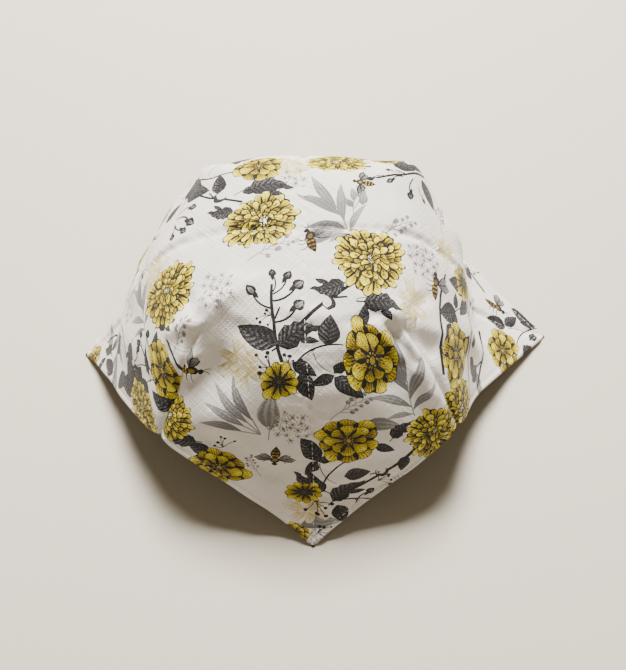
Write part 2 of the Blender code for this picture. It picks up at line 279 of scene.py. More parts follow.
def foldHeight(folds, name, across, along):
    before, after = beside(name)
    width = halfWidth(along)
    views = {name: across, after: across - 2 * width, before: across + 2 * width}
    total = np.zeros_like(across)
    for panel in [panel for panel in folds if panel in views]:
        places = np.stack([views[panel], along], axis=-1)
        for fold in np.array(folds[panel]) / 1000:
            start, end, (height, reach) = fold[:2], fold[2:4], fold[4:]
            run, offset = end - start, places - start
            share = np.clip(offset @ run / (run @ run), 0, 1)
            miss = np.linalg.norm(offset - share[..., None] * run, axis=-1)
            total += height * np.exp(-((miss / reach) ** 2))
    return total


def hemDistance(across, along):
    return np.maximum((tipAlong - along - np.abs(across)) / math.sqrt(2), 0)


def groove(distance, reach):
    return 1 - smoothStep(np.abs(distance) / reach)


def sewnShare(across, along):  # 1 on a line of sewing and 0 away from it
    toSeam = halfWidth(along) - np.abs(across)
    onDart = smoothStep((along - baseEdge) / sewing["seamStart"])
    return groove(across, sewing["quiltReach"]), groove(toSeam, sewing["seamReach"]) * onDart * (along < seamEndAlong)


def loftShare(across, along):  # the batting is pressed thin at the hem and under the sewing
    toHem = hemDistance(across, along)
    toHem = np.where(along < seamEndAlong, np.hypot(seamEndAlong - along, toHem * 0.5), toHem)
    share = pattern["hemLoftShare"]
    pressed = share + (1 - share) * smoothStep(toHem / pattern["hemPressWidth"])
    quilt, seam = sewnShare(across, along)
    return np.maximum(pressed - sewing["sewnFlat"] * np.maximum(quilt, seam), share)


def relief(name, across, along, flat):  # how far both cloths bend outwards, and how far the sewing presses each in
    quilt, seam = sewnShare(across, along)
    drift = sewing["puckerDrift"] * waves(flat, sewing["driftPitch"], 3)
    pucker = np.sin(2 * math.pi * along / sewing["puckerPitch"] + drift)
    nearQuilt = np.exp(-np.abs(across) / sewing["puckerReach"]) * (1 - quilt)
    inset = hemDistance(across, along) - sewing["topstitchInset"]
    bend = foldHeight(mainFolds, name, across, along) + foldHeight(fineCreases, name, across, along)
    bend += sewing["ripple"] * waves(flat, sewing["ripplePitch"], 11) * (1 - quilt)
    press = sewing["quiltDepth"] * quilt * (1 + sewing["puckerInQuilt"] * pucker) + sewing["seamDepth"] * seam
    press += sewing["topstitchDepth"] * groove(inset, sewing["topstitchReach"]) * (along > baseEdge)
    press -= sewing["puckerHeight"] * pucker * nearQuilt
    return bend, press


def inPanels(flat):  # which panel each flat point is in, and where
    found = np.zeros((len(panelOrder), len(flat), 2))
    for index, name in enumerate(panelOrder):
        bearing = math.radians(panels[name].heading)
        found[index, :, 0] = flat @ (-math.sin(bearing), math.cos(bearing))
        found[index, :, 1] = flat @ (math.cos(bearing), math.sin(bearing))
    owner = np.argmax(found[:, :, 1], axis=0)
    return owner, *found[owner, np.arange(len(flat))].T


def clothFrame(flat):  # for flat points in metres: surface, normal, bend, press, loft and distance to the hem
    owner, across, along = inPanels(flat)
    points, normals = np.zeros((2, len(flat), 3))
    bend, press = np.zeros((2, len(flat)))
    for index, name in enumerate(panelOrder):
        mine = owner == index
        points[mine], normals[mine] = fieldAt(name, across[mine], along[mine])
        bend[mine], press[mine] = relief(name, across[mine], along[mine], flat[mine])
    return points + lift, normals, bend, press, loftShare(across, along), hemDistance(across, along)


# Drawing on the cloth: a printed shape is a flower or a blade, a leaf-like outline along a bowed middle line
bladeForms = {  # half widths at equal steps from the blade's foot to its tip, as shares of the widest
    "leaf": (0.05, 0.62, 0.93, 1.0, 0.94, 0.80, 0.60, 0.34, 0.0),
    "ragged": (0.05, 0.70, 0.86, 1.0, 0.74, 0.90, 0.52, 0.44, 0.0),
    "lance": (0.04, 0.40, 0.76, 0.98, 1.0, 0.86, 0.62, 0.34, 0.0),
    "disc": (0.0, 0.66, 0.87, 0.97, 1.0, 0.97, 0.87, 0.66, 0.0),
    "bud": (0.10, 0.66, 0.92, 1.0, 0.96, 0.84, 0.66, 0.42, 0.0),
    "stem": (1.0, 0.96, 0.92, 0.90, 0.88, 0.86, 0.84, 0.80, 0.72),
    "wing": (0.08, 0.36, 0.60, 0.80, 0.95, 1.0, 0.94, 0.72, 0.0),
}
Stroke = namedtuple("Stroke", "form look x y turn length half bend", defaults=(0,))
Blade = namedtuple("Blade", "form look origin matrix length half bend tone")


# Flowers are one outline each, and their petals are drawn by the ink's own shading: petals and reach of every ring, how
# scalloped, loose and uneven they are, a petal's colours at its foot, tip and lit middle, the ink, the lines along it,
# how far they reach, where the dark gap between petals starts, the rim, the eye's size and the colour of its middle
Flower = namedtuple("Flower", "rings scallop loose uneven foot tip shine ink lines reach gap rim eye heart")
flowers = {
    "ruffledBloom": Flower(((24, 1.0), (20, 0.78), (15, 0.57), (9, 0.35)), 0.10, 0.46, 0.07,
                           "#856c00", "#dec800", "#faf37c", "#12110e", 2, 0.9, 0.90, 0.036, 0.13, "#f9f8c4"),
    "broadBloom": Flower(((10, 1.0), (8, 0.73)), 0.10, 0.22, 0.07,
                         "#886e00", "#d6bf00", "#f5ea58", "#14130f", 6, 1.3, 0.93, 0.030, 0.20, "#a08c2c"),
    "smallBloom": Flower(((11, 1.0),), 0.14, 0.15, 0.07,
                         "#886e00", "#d6bf00", "#f5ea58", "#12110e", 4, 1.1, 0.90, 0.045, 0.31, "#4a4022"),
    "tanBloom": Flower(((6, 1.0), (5, 0.55)), 0.52, 0.3, 0.12,
                       "#e1d6b1", "#ece4cb", "#f2ecd9", "#d3c28f", 4, 0.9, 0.94, 0.03, 0, "#ece4cb"),
    "laceBloom": Flower(((6, 1.0),), 0.6, 0, 0.1,
                        "#6f6a6e", "#e4e0dc", "#f4f0ec", "#625d66", 1, 0.3, 0.80, 0.18, 0, "#4a464d"),
}
swinging = {"step": 2.4, "tone": 40.0, "ringTurn": 7.3, "innerUneven": 1.7, "innerScallop": 1.6}  # petal to petal


def lobed(angle, tone):  # no flower is quite round
    return (1 + 0.07 * np.sin(2 * angle + 6.3 * tone) + 0.05 * np.sin(3 * angle + 17 * tone)
            + 0.03 * np.sin(5 * angle + 31 * tone))


def bloom(look, x=0, y=0, size=1, turn=0):
    return "bloom", look, x, y, turn, size, size


# Each motif is drawn at size 1, pointing along +x where it has a direction
def same(*strokes):  # a motif that is always drawn alike
    return lambda draw: strokes


def pointAt(x, y, turn, far):
    return x + far * math.cos(math.radians(turn)), y + far * math.sin(math.radians(turn))


def oneLeaf(form, half, sway):
    return lambda draw: [(form, "blackLeaf", 0, 0, 0, 1, half, draw.uniform(-sway, sway))]


def leafFan(draw):
    yield "stem", "greyInk", 0, 0, 0, 0.62, 0.010, 0.03
    for foot, turn, length, half, bend in ((0.60, 4, 0.78, 0.085, 0.04), (0.42, 30, 0.84, 0.085, -0.06),
                                           (0.30, -26, 0.80, 0.078, 0.06), (0.16, 58, 0.70, 0.074, -0.08),
                                           (0.10, -54, 0.60, 0.062, 0.08), (0.04, 88, 0.42, 0.05, -0.08)):
        yield "lance", "greyLeaf", foot, 0.01, turn + draw.uniform(-5, 5), length, half, bend


def greyPlume(draw):  # long soft leaves from one foot
    for turn, length in ((30, 0.62), (8, 0.66), (-10, 0.76), (-28, 0.78)):
        yield "stem", "greyInk", 0, 0, turn, 0.32, 0.012
        yield "lance", "greyLeaf", *pointAt(0, 0, turn, 0.26), turn, length, 0.072, -0.003 * turn


def greySprig(draw):
    yield "stem", "greyInk", 0, 0, 0, 0.8, 0.016, 0.05
    yield "lance", "greyLeaf", 0.66, 0, 4, 0.42, 0.09
    yield "leaf", "greyLeaf", 0.48, 0.03, 34, 0.36, 0.09
    for foot, turn in ((0.42, -40), (0.24, -46)):
        yield "stem", "greyInk", foot, 0, turn, 0.42, 0.014, 0.12
        yield "leaf", "greyLeaf", *pointAt(foot, 0, turn + 14, 0.34), turn + 34, 0.40, 0.12


def berrySpray(draw):
    yield "stem", "greyInk", 0, 0, 0, 1.0, 0.012, 0.06
    for place in range(9):
        foot = 0.30 + 0.08 * place
        turn = (38 if place % 2 else -42) + draw.uniform(-12, 12)
        stalk = (0.26 - 0.014 * place) * draw.uniform(0.75, 1.2)
        size = 0.056 * draw.uniform(0.8, 1.15)
        middle = 0.06 * 4 * foot * (1 - foot)
        x, y = pointAt(foot, middle, turn, stalk)
        yield "stem", "greyInk", foot, middle, turn, stalk, 0.010
        yield "disc", "greyLeaf", x - size, y, 0, 2 * size, size


def laceHead(draw):  # a head of tiny drawn blossoms
    for turn in (-24, -8, 10, 26):
        yield "stem", "fineInk", -1.1, 0, turn, 1.3, 0.016
    for place in range(17):
        far, angle = math.sqrt(place / 17) * 0.95, place * 2.4
        yield bloom("laceBloom", far * math.cos(angle), far * math.sin(angle), draw.uniform(0.17, 0.25),
                    draw.uniform(0, 360))


def budded(draw):  # a thin stalk that ends in a closed bud
    bend = draw.choice((-0.14, 0.14))
    yield "stem", "blackInk", 0, 0, 0, 0.74, 0.034, bend
    yield "lance", "blackInk", 0.48, 0, -40 * bend, 0.40, 0.08
    yield "bud", "budInk", 0.64, 0, -60 * bend, 0.38, 0.16


def budStem(draw):  # an upright stem whose side stems end in round buds
    yield "stem", "blackInk", 0, 0, 0, 1.0, 0.016, 0.02
    for foot, turn, length, size in ((0.34, 62, 0.42, 0.075), (0.50, -48, 0.48, 0.085), (0.56, 48, 0.58, 0.070),
                                     (0.70, -38, 0.48, 0.080), (0.74, -14, 0.50, 0.065), (0.92, 8, 0.22, 0.075)):
        bend = 0.10 if turn < 0 else -0.10
        turn += draw.uniform(-5, 5)
        x, y = pointAt(foot, 0, turn, length)
        yield "stem", "blackInk", foot, 0, turn, length, 0.013, bend
        yield "bud", "budInk", x - 0.02, y, turn - bend * 90, size * 2.3, size


def umbel(draw):  # small black berries on hair-thin stalks
    for place in range(5):
        turn = -56 + 28 * place + draw.uniform(-14, 14)
        length, size = draw.uniform(0.4, 1.0), draw.uniform(0.07, 0.13)
        x, y = pointAt(0, 0, turn, length)
        yield "stem", "blackInk", 0, 0, turn, length, 0.026, draw.uniform(-0.15, 0.15)
        yield "disc", "blackInk", x - size, y, 0, 2 * size, size


# A bee seen from its side, with netted wings, and one seen from above, wings out to both sides
beeSide = [("stem", "blackInk", 0.10 - 0.16 * leg, -0.12, -78 - 16 * leg, 0.62, 0.026, -0.16) for leg in range(3)]
beeSide += [("stem", "blackInk", 0.52, 0.02, turn, 0.42, 0.022, 0.14) for turn in (-24, 20)]
beeSide += [("wing", "wingNet", -0.05, 0.14, 98, 0.98, 0.25), ("wing", "wingNet", -0.02, 0.14, 66, 0.80, 0.22),
            ("bud", "beeBand", 0.05, 0.0, 186, 0.96, 0.25, 0.06), ("disc", "blackInk", -0.16, 0.02, 4, 0.58, 0.25),
            ("disc", "beeFur", -0.08, -0.01, 8, 0.32, 0.17), ("disc", "blackInk", 0.34, 0.0, 0, 0.27, 0.16)]
beeMirrored = [(form, look, x, -y, -turn, length, half, -bend)
               for form, look, x, y, turn, length, half, bend in (Stroke(*stroke) for stroke in beeSide)]
beeFromAbove = [("stem", "blackInk", 0.12 * leg, 0, side * (62 + 28 * leg), 0.62, 0.024, side * 0.14)
                for leg in range(3) for side in (-1, 1)]
beeFromAbove += [("wing", "wingNet", 0.04, 0.1 * side, side * (94 + 26 * pair), 0.92 - 0.2 * pair, 0.2)
                 for pair in (0, 1) for side in (-1, 1)]
beeFromAbove += [("bud", "beeBand", -0.02, 0, 180, 0.92, 0.25), ("disc", "blackInk", -0.18, 0, 0, 0.50, 0.23),
                 ("disc", "beeFur", -0.08, 0, 0, 0.28, 0.16), ("disc", "blackInk", 0.26, 0, 0, 0.24, 0.15)]
motifs = {
    "ruffled": same(bloom("ruffledBloom")),  # many short petals in rings round a small pale heart
    "broad": same(bloom("broadBloom")),  # wide lined petals round a dotted eye
    "small": same(bloom("smallBloom")), "tan": same(bloom("tanBloom")),  # the last is a pale shadow of a blossom
    "leaf": oneLeaf("leaf", 0.27, 0.05), "wide": oneLeaf("leaf", 0.36, 0.05), "slim": oneLeaf("lance", 0.14, 0.09),
    "ragged": same(
        ("stem", "blackInk", -0.18, -0.02, 4, 0.20, 0.02), ("ragged", "blackLeaf", 0, 0, 0, 0.86, 0.27, 0.07),
        ("lance", "blackLeaf", 0.42, -0.16, -28, 0.40, 0.08, 0.10),
        ("lance", "blackLeaf", 0.70, 0.03, -20, 0.34, 0.07, -0.14)),
    "curled": same(("bud", "blackLeaf", 0, 0, 0, 1, 0.46), ("bud", "paleInk", 0.17, 0.10, 8, 0.76, 0.29)),
    "stalk": same(("stem", "blackInk", 0, 0, 0, 1, 0.021, 0.14)),
    "backStalk": same(("stem", "blackInk", 0, 0, 0, 1, 0.016, -0.14)),
    "branch": same(("stem", "blackInk", 0, 0, 0, 1.0, 0.024, 0.04), ("stem", "blackInk", 0.55, 0.02, -32, 0.16, 0.014)),
    "greyLeaf": same(("stem", "greyInk", -0.3, 0, 0, 0.32, 0.014), ("leaf", "greyLeaf", 0, 0, 0, 1, 0.24, 0.05)),
    "greyBlade": same(("lance", "greyLeaf", 0, 0, 0, 1, 0.10, 0.05)), "fan": leafFan, "plume": greyPlume,
    "sprig": greySprig, "berries": berrySpray, "lace": laceHead, "bud": budded, "buds": budStem, "umbel": umbel,
    "bee": same(*beeSide), "beeTurned": same(*beeMirrored), "beeAbove": same(*beeFromAbove),
}

# Where each motif is printed, in this order: flat cloth in mm from the middle of the base, x to the right and y away
# from the viewer, the motif's heading in degrees, its size in mm and how much it is narrowed across
Print = namedtuple("Print", "motif x y turn size narrow", defaults=(1,))
prints = [Print(motif, *place) for motif, *places in (
    # pale shapes lie under the rest
    ("fan", (22, -4, 118, 28)), ("plume", (-22, -99, 136, 31)), ("fan", (46, -92, 100, 31), (-84, -30, 96, 24),
        (92, 18, 40, 28), (-122, -12, 230, 26)), ("sprig", (23, 3, 97, 19)), ("greyLeaf", (0, -6, 14, 19),
        (-18, -96, 81, 21), (23, -95, -6, 17), (-6, -159, 5, 19), (118, -38, -60, 14)),
    ("greyBlade", (-139, -18, 111, 28), (-124, -25, 78, 16)), ("berries", (-24, -16, 28, 20), (-67, -47, 24, 18),
        (8, -92, 36, 21), (33, -5, 38, 20), (-24, -127, 110, 14), (70, 12, 78, 18)), ("lace", (-38, -29, 215, 9.5),
        (56, -10, -28, 9.5), (-9, -95, -80, 9.5), (-104, -8, 260, 9), (118, 4, 40, 8.5), (-6, 29, 60, 8.5),
        (1, -167, 20, 5)), ("tan", (-28, -63, 60, 14), (49, -33, 10, 13), (72, 3, 70, 10), (-6, 38, 20, 12),
        (-76, -6, 95, 12), (-3, -150, 10, 12), (104, -10, 130, 10), (-122, 10, 40, 11)),
    # black stems and buds
    ("branch", (-10, -61, 96, 34)), ("bud", (-14, -38, 138, 14), (-13, -31, 91, 11), (-13, -32, 53, 13),
        (-13, -35, 33, 16), (-13, -44, 32, 16)), ("umbel", (-14, -41, 185, 7)), ("branch", (-3, -46, 37, 36)),
    ("stalk", (22, -34, -9, 10), (-5, -62, 22, 22)), ("backStalk", (3, -57, -53, 12), (3, -118, -60, 15)),
    ("stalk", (4, -137, 61, 24)), ("branch", (47, -111, 222, 38), (9, -144, -2, 19)), ("bud", (20, -147, 52, 13)),
    ("backStalk", (-59, 41, -15, 29)), ("stalk", (-45, 35, 48, 11)), ("branch", (-27, 15, 156, 28)),
    ("stalk", (-31, 19, 13, 12), (-66, 36, 275, 18)), ("bud", (-62, 20, -6, 12), (-63, 17, -32, 15),
        (-63, 14, -49, 12), (-64, 14, -80, 10)), ("branch", (62, 43, 202, 34)), ("bud", (44, 33, 211, 10),
        (34, 32, 200, 8), (42, 35, 170, 7), (50, 33, 260, 13), (54, 30, -60, 9)), ("stalk", (78, -54, 100, 44)),
    ("backStalk", (94, -8, -70, 50)), ("branch", (126, -12, 262, 35)), ("stalk", (149, -1, -7, 14)),
    ("backStalk", (168, 4, 227, 25)), ("stalk", (80, -25, 19, 14), (-84, -33, 249, 18), (-68, -40, 250, 40)),
    ("bud", (-99, -38, 24, 9)), ("backStalk", (-112, -46, 96, 34)), ("stalk", (-150, -4, -30, 30)),
    ("buds", (-84, -58, 104, 22)),
    # black leaves
    ("leaf", (-11, -53, 156, 20)), ("ragged", (-11, -54, 30, 20)), ("wide", (8.5, -54, 79, 13.5)),
    ("leaf", (-6, -61, -35, 12), (-3, -66, -74, 15), (25, -46, 88, 10)), ("ragged", (25, -35, -8, 18),
        (17, -27, 196, 15)), ("curled", (10, -39, 80, 6.5)), ("leaf", (11, -68, 204, 11), (11, -69, -42, 16)),
    ("wide", (11, -67, 43, 8)), ("leaf", (2, -117, 114, 17), (2, -117, 237, 11), (2, -117, 26, 9)),
    ("wide", (14, -126, 7, 12.5)), ("ragged", (9, -144, 46, 20)), ("wide", (11, -147, -72, 12)),
    ("ragged", (5, -137, 142, 19)), ("leaf", (5, -137, 119, 12)), ("ragged", (36, -104, 53, 13)),
    ("leaf", (28, -108, -20, 10), (43, -115, 258, 11)), ("curled", (29, -128, 40, 7.5)), ("leaf", (-35, 47, 21, 15),
        (-32, 50, 276, 10), (-36, 47, 146, 7)), ("wide", (-39, 22, 86, 11)), ("curled", (-41, 21, -27, 7.5)),
    ("leaf", (-27, 20, 24, 9)), ("ragged", (-24, 22, 7, 20), (-66, 36, -15, 20)), ("leaf", (-61, 30, -13, 18),
        (-78, 26, 23, 13)), ("ragged", (-31, 10, 175, 13)), ("leaf", (18, 51, 8, 15)), ("curled", (24, 44, -52, 8)),
    ("leaf", (37, 47, -3, 25)), ("wide", (40, 42, -15, 12)), ("leaf", (58, 38, -60, 17)),
    ("ragged", (-74, -32, -7, 15)), ("leaf", (-80, -41, 58, 9)), ("slim", (-90, -48, 74, 12)),
    ("wide", (-109, -47, 148, 15), (-106, -48, 29, 13)), ("leaf", (-157, -16, 7, 10)),
    ("ragged", (-98, -30, 210, 15)), ("leaf", (-140, -14, 150, 12), (-140, -14, 20, 10), (91, -10, 187, 18)),
    ("wide", (80, -25, 201, 13.5)), ("leaf", (80, -24, 96, 8), (80, -26, 262, 9), (92, -32, 262, 16)),
    ("slim", (104, -26, 83, 22)), ("leaf", (100, -50, 236, 14)), ("ragged", (88, -68, 210, 16)),
    ("wide", (147, -1, 173, 13)), ("leaf", (147, 0, 44, 12), (167, 5, 145, 17), (167, 5, 178, 10)),
    ("wide", (162, -10, 228, 10)), ("leaf", (-86, -66, 110, 14), (-46, -112, 140, 13)),
    ("ragged", (-52, -104, 160, 16)), ("umbel", (-15, -64, 138, 10), (-8, -62, 60, 7), (1, -145, -70, 10),
        (2, -164, 20, 8), (-90, -70, 250, 9), (30, -132, 20, 8), (-40, -108, 100, 8)), ("leaf", (91, -15, 234, 13),
        (99, -33, 42, 13)), ("wide", (116, -40, 170, 13)), ("leaf", (112, -46, 54, 14), (77, -32, 243, 10),
        (-130, -20, 9, 14)), ("wide", (-114, -40, 3, 13)), ("leaf", (-116, -37, 189, 14), (-137, -28, 128, 15),
        (-94, -53, 125, 10), (143, -30, 43, 12), (161, -6, 47, 9)),
    # yellow flowers
    ("ruffled", (-18.5, 4.5, 35, 18, 0.84), (29, -15.5, 0, 19, 0.86), (-65, -21, 90, 15, 1.14)),
    ("broad", (27, -61, 95, 21, 0.6), (-20, 37, 10, 12.5, 0.9)), ("ruffled", (15, 43, 0, 14, 0.8)),
    ("broad", (16, -104, 0, 16.5, 0.84), (-43, -120, -36, 15, 0.76)), ("ruffled", (56, -103, 30, 17, 0.85),
        (99, -62, 30, 14)), ("broad", (84, -43, 90, 14, 0.86)), ("small", (87, -7, 60, 9.5)),
    ("broad", (142, -18, 70, 14, 0.86), (-79, -49, 80, 15, 0.62)), ("ruffled", (-63, -92, 20, 12.5),
        (-106, -56, 20, 12.5)), ("broad", (-163, -6, 60, 8)), ("small", (-12, -70, 80, 10, 0.9),
        (-4.5, -138.5, 0, 9.5, 0.86)), ("broad", (-9, -163, 150, 9, 0.6)), ("small", (36, 50, 10, 7),
        (-110, 34, 10, 9)),
    # the far halves of both sides
    ("tan", (-68, 52, 20, 12)), ("berries", (-100, 28, 50, 18)), ("leaf", (-84, 36, 205, 14)),
    ("wide", (-86, 40, 100, 12)), ("small", (-86, 37, 30, 9)), ("bud", (-82, 22, 160, 13)),
    ("berries", (106, 38, -30, 18)), ("leaf", (128, 24, 130, 14)), ("curled", (124, 30, 60, 8)),
    ("bud", (88, 36, 120, 14), (88, 36, 60, 12)),
    # bees
    ("beeTurned", (3, -5, 112, 8.8)), ("bee", (-50, -67, -14, 9)), ("beeAbove", (-17, -115, 262, 9.5)),
    ("beeTurned", (64, -18, 100, 8.8)), ("bee", (143, 11, -24, 9.5)), ("beeAbove", (24, 27, 170, 7)),
    ("bee", (-93, 5, 70, 9), (40, -134, 200, 7)),
) for place in places]


def bowed(share, bend, length):  # how far a blade's middle line stands off its chord
    return 4 * bend * length * share * (1 - share)


def bladeWidth(form, share):
    widths = bladeForms[form]
    return np.interp(share, np.linspace(0, 1, len(widths)), widths)


def spun(degrees):
    angle = math.radians(degrees)
    return np.array(((math.cos(angle), -math.sin(angle)), (math.sin(angle), math.cos(angle))))


def drawnBlades(rows, seed):  # every printed shape in flat metres, in the order it is printed
    blades = []
    for place, row in enumerate(rows):
        draw = random.Random(seed + place)
        spread = spun(row.turn) @ np.diag((row.size, row.size * row.narrow)) * mm
        for stroke in list(motifs[row.motif](draw)):  # all of its draws come before the tones
            form, look, x, y, turn, *sizes = Stroke(*stroke)
            origin = np.array((row.x, row.y)) * mm + spread @ (x, y)
            blades.append(Blade(form, look, origin, spread @ spun(turn), *sizes, draw.random()))
    return blades


def bladeOutline(blade):  # its polygon in flat metres
    if blade.form == "bloom":
        flower = flowers[blade.look]
        count = flower.rings[0][0]
        petal = np.repeat(np.arange(count) - count // 2, 4)
        across = np.tile((-1, -0.5, 0, 0.5), count)
        angle = 2 * math.pi * (petal + 0.5 + across / 2) / count
        swing = flower.uneven * np.sin(swinging["step"] * petal + swinging["tone"] * blade.tone)
        far = blade.length * (1 - flower.scallop * across**2) * (1 - flower.uneven + swing)
        far *= lobed(angle, blade.tone)
        return blade.origin + np.stack([far * np.cos(angle), far * np.sin(angle)], axis=1) @ blade.matrix.T
    longest = blade.length * math.hypot(*blade.matrix[:, 0])
    steps = 8 if blade.form == "ragged" else int(min(8, max(4, longest / (2 * mm))))
    share = np.linspace(0, 1, steps + 1)
    middle = np.stack([share * blade.length, bowed(share, blade.bend, blade.length)], axis=1)
    width = blade.half * bladeWidth(blade.form, share)
    over = np.stack([np.zeros_like(width), width], axis=1)
    wide = width > 1e-4 * blade.half
    loop = np.concatenate([middle - over, (middle + over)[::-1][wide[::-1]]])
    return blade.origin + loop @ blade.matrix.T


def inkPlaces(blades, owner, corners):  # at each printed corner: place along its blade and across, half width in mm
    places = np.zeros((len(owner), 3, 3))
    for index in np.unique(owner[owner >= 0]):
        blade, mine = blades[index], owner == index
        local = (corners[mine] - blade.origin) @ np.linalg.inv(blade.matrix).T
        if blade.form == "bloom":
            angle = np.arctan2(local[..., 1], local[..., 0])
            places[mine, :, :2] = local / blade.length / lobed(angle, blade.tone)[..., None]
            continue
        share = np.clip(local[..., 0] / blade.length, 0, 1)
        width = blade.half * np.maximum(bladeWidth(blade.form, share), 0.02)
        across = np.clip((local[..., 1] - bowed(share, blade.bend, blade.length)) / width, -1, 1)
        places[mine] = np.stack([share, across, width * math.hypot(*blade.matrix[:, 1]) / mm], axis=-1)
    return places


# The flat cloth: its outline, its rows of points and its triangles
mesh = {"grid": 0.0021, "backGrid": 0.0052, "seamStep": 0.0016, "hemStep": 0.0016, "near": 1e-6,
        "hemRows": (0.00012, 0.00042, 0.0009, 0.0016, 0.0024, 0.0032, 0.0041),
        "quiltRows": (0.0009, 0.0018, 0.0029), "seamRows": (0.0009, 0.0018)}


def turned(name, across, along):  # a panel's own across and along as flat cloth
    bearing = math.radians(panels[name].heading)
    return np.stack([across * -math.sin(bearing) + along * math.cos(bearing),
                     across * math.cos(bearing) + along * math.sin(bearing)], axis=-1)


def seamAlong(share):
    return baseEdge + share * (seamEndAlong - baseEdge)


def seamPoints(name, side, shares):
    return turned(name, side * (baseEdge + shares * (seamEndAcross - baseEdge)), seamAlong(shares))


def hemLine(name, across):
    return turned(name, across, tipAlong - np.abs(across))


def hemEnds(inset):  # how far down a panel a line that far inside its hem begins and ends: corner and seam
    corner = tipAlong - inset * math.sqrt(2)
    return corner, (corner - baseEdge * (1 - seamSpread)) / (1 + seamSpread)


def flatOutline(seamShares, hemPoints):  # the flat cloth's corners with the points between, counter-clockwise
    points = []
    for name, panel in panels.items():
        points += [seamPoints(name, -1, seamShares[panel.leftDart]), hemPoints[name],
                   seamPoints(name, 1, seamShares[panel.rightDart][::-1])[:-1]]
    return np.concatenate(points)


def rowPoints():  # points in lines beside the hems, the dart seams and the quilting
    for name in panelOrder:
        for inset in mesh["hemRows"]:
            corner, last = hemEnds(inset)
            share = np.linspace(0, 1, int((corner - last) * math.sqrt(2) / mesh["hemStep"]))[:-1]
            across = (corner - last) * share
            for side in (1, -1):
                yield turned(name, side * across, corner - across)
        along = np.arange(mesh["hemStep"], tipAlong - mesh["hemRows"][-1] * 1.6, mesh["hemStep"])
        for offset in (0, *(side * offset for offset in mesh["quiltRows"] for side in (1, -1))):
            keep = along[along > abs(offset) * 1.2 + 0.0002]  # each row stays in its own panel near the middle
            yield turned(name, np.full(len(keep), offset), keep)
        down = seamAlong(np.arange(0.02, 0.985, mesh["hemStep"] / seamLength))
        for offset in mesh["seamRows"]:
            for side in (1, -1):
                yield turned(name, side * (halfWidth(down) - offset), down)


def gridPoints(step):  # an even spread of points inside the cloth, clear of its edges and lines of sewing
    rows = np.arange(-tipAlong, tipAlong, step * math.sqrt(0.75))
    columns = np.arange(-tipAlong, tipAlong, step)
    x, y = np.meshgrid(columns, rows)
    x = x + (np.arange(len(rows)) % 2)[:, None] * step / 2
    flat = np.stack([x.ravel(), y.ravel()], axis=1)
    _, across, along = inPanels(flat)
    room = 0.3 * step
    clear = hemDistance(across, along) > mesh["hemRows"][-1] + 0.4 * step
    clear &= (np.abs(across) > mesh["quiltRows"][-1] + room) | (along < 0.001)
    clear &= (halfWidth(along) - np.abs(across) > mesh["seamRows"][-1] + room) | (along < baseEdge - room)
    return flat[clear]


def regularOutline():
    shares = list(np.linspace(0, 1, int(seamLength / mesh["seamStep"])))
    shares += [seamShare(hemEnds(inset)[1]) for inset in mesh["hemRows"]]
    seamShares = {name: np.unique(np.round(shares, 6)) for name in darts}
    side = seamEndAcross * math.sqrt(2)
    across = np.linspace(-seamEndAcross, seamEndAcross, 2 * int(side / mesh["hemStep"]) + 1)[1:-1]
    return seamShares, {name: hemLine(name, across) for name in panelOrder}


def cutCloth(outline, inside, polygons):  # triangles of the flat cloth, each with the last polygon printed over it
    loops = [outline] + polygons
    starts = np.cumsum([0] + [len(loop) for loop in loops])
    points = np.concatenate(loops + [inside]) / mm
    faces = [list(range(starts[i], starts[i + 1])) for i in range(len(loops))]
    found, _, triangles, _, _, sources = delaunay_2d_cdt([Vector(point) for point in points], [], faces, 1, 1e-5, True)
    kept = [(triangle, max(source)) for triangle, source in zip(triangles, sources) if 0 in source]
    triangles = np.array([triangle for triangle, _ in kept])
    used, triangles = np.unique(triangles, return_inverse=True)
    flat = np.array([tuple(point) for point in found])[used] * mm
    return flat, triangles.reshape(-1, 3), np.array([top for _, top in kept])


def onEdges(flat):  # each point's panel, place across it, dart or -1, share of the seam, and whether it is on the hem
    owner, across, along = inPanels(flat)
    on = (np.abs(halfWidth(along) - np.abs(across)) < mesh["near"]) & (along > baseEdge - mesh["near"])
    on &= along < seamEndAlong + mesh["near"]
    names = list(darts)
    left = np.array([names.index(panel.leftDart) for panel in panels.values()])[owner]
    right = np.array([names.index(panel.rightDart) for panel in panels.values()])[owner]
    dart = np.where(on, np.where(across < 0, left, right), -1)
    return owner, across, dart, seamShare(along), (hemDistance(across, along) < mesh["near"]) & (dart < 0)


def sharedOutline(flat):  # every seam point of either side on both, and every point on the hems
    owner, across, dart, share, onHem = onEdges(flat)
    seamShares = {name: np.unique(np.round(share[dart == index], 6)) for index, name in enumerate(darts)}
    return seamShares, {name: hemLine(name, np.sort(across[onHem & (owner == index)]))
                        for index, name in enumerate(panelOrder)}


def clothSide(polygons, inside, outline=None):
    flat, triangles, top = cutCloth(flatOutline(*(outline or regularOutline())), inside, polygons)
    if outline is None:  # once more with the points that the print adds on the edges
        outline = sharedOutline(flat)
        flat, triangles, top = cutCloth(flatOutline(*outline), inside, polygons)
    return flat, triangles, top, outline


